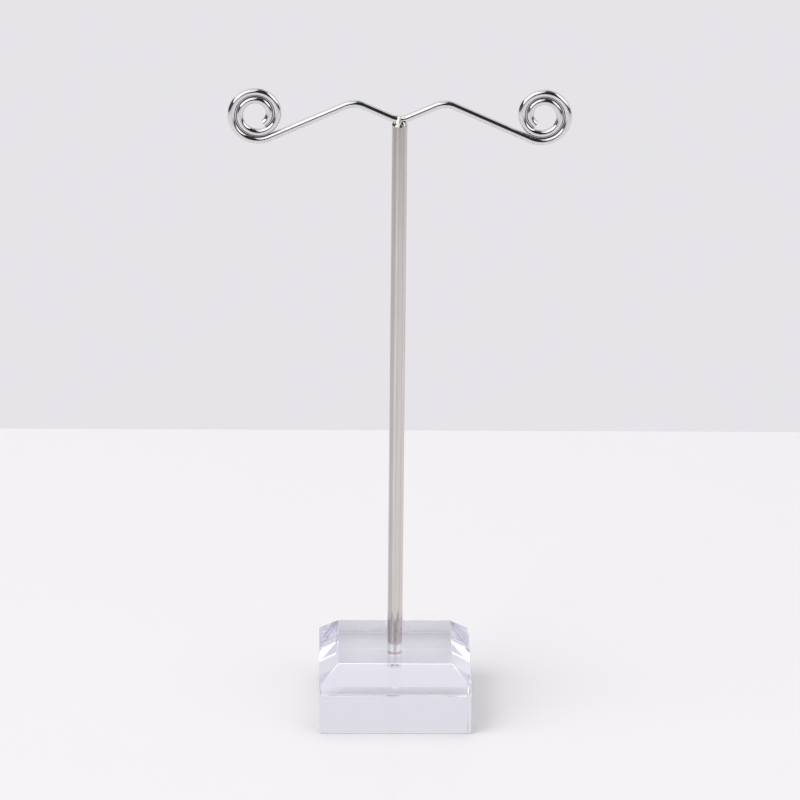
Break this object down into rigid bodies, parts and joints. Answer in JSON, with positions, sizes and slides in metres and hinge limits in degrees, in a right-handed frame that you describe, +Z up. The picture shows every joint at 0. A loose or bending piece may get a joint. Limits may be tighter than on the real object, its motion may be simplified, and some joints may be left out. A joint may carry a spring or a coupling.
{
  "type": "earring stand",
  "caption": "Table stand for earrings: clear bevelled block, upright metal rod and a bent wire bar with a rolled scroll at each end.",
  "frame": {"origin": "under the middle of the block, on the surface that the stand rests on", "axes": "+Z up along the rod, +X along the wire bar to the right, -Y towards the front"},
  "size_m": [0.0672, 0.0306, 0.1302],
  "materials": {
    "clear_acrylic": "polished clear acrylic with a faint cool tint",
    "satin_steel": "drawn steel, satin, slightly warm",
    "chromed_wire": "bright plated",
    "solder": "bright solder, plated over",
    "adhesive": "clear cured adhesive"
  },
  "bodies": {
    "root": {"base_block": "clear_acrylic", "post_rod": "satin_steel", "scroll_wire": "chromed_wire", "solder_bead": "solder", "adhesive_drop": "adhesive"}
  },
  "joints": []
}
